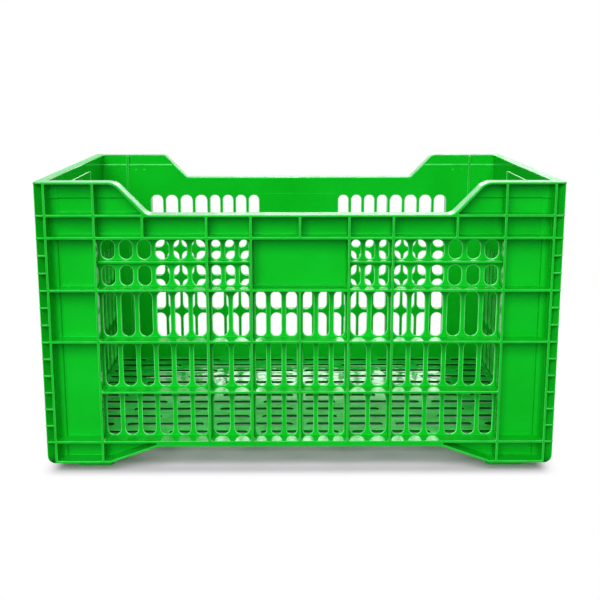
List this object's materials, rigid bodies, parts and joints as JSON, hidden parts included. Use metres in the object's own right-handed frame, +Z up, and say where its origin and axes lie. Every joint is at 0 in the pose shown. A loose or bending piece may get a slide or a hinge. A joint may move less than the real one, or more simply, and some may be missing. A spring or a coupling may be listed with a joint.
{
  "type": "harvest crate",
  "caption": "Open stacking harvest crate of green plastic: slotted walls in a grid of outside ribs, a rim that dips on the long sides, ringed corner posts, arched feet and stacking pads.",
  "frame": {"origin": "on the ground under the middle of the crate, at the underside of the stacking pads", "axes": "+X along the length to the right, +Y to the rear, +Z up; the wall with the label plate faces -Y"},
  "size_m": [0.54, 0.36, 0.312],
  "materials": {
    "green_plastic": "glossy moulded polypropylene, saturated green"
  },
  "bodies": {
    "root": {"front_panel": "green_plastic", "front_rib_grid": "green_plastic", "front_left_shoulder": "green_plastic", "front_left_rim": "green_plastic", "front_right_shoulder": "green_plastic", "front_right_rim": "green_plastic", "front_dip_rim": "green_plastic", "front_label_plate": "green_plastic", "rear_panel": "green_plastic", "rear_rib_grid": "green_plastic", "rear_left_shoulder": "green_plastic", "rear_left_rim": "green_plastic", "rear_right_shoulder": "green_plastic", "rear_right_rim": "green_plastic", "rear_dip_rim": "green_plastic", "right_panel": "green_plastic", "right_rib_grid": "green_plastic", "right_front_shoulder": "green_plastic", "right_rear_shoulder": "green_plastic", "right_grip": "green_plastic", "right_rim": "green_plastic", "left_panel": "green_plastic", "left_rib_grid": "green_plastic", "left_front_shoulder": "green_plastic", "left_rear_shoulder": "green_plastic", "left_grip": "green_plastic", "left_rim": "green_plastic", "front_left_corner_post": "green_plastic", "front_left_foot": "green_plastic", "front_left_stacking_pad": "green_plastic", "front_right_corner_post": "green_plastic", "front_right_foot": "green_plastic", "front_right_stacking_pad": "green_plastic", "rear_left_corner_post": "green_plastic", "rear_left_foot": "green_plastic", "rear_left_stacking_pad": "green_plastic", "rear_right_corner_post": "green_plastic", "rear_right_foot": "green_plastic", "rear_right_stacking_pad": "green_plastic", "floor_grid": "green_plastic"}
  },
  "joints": []
}
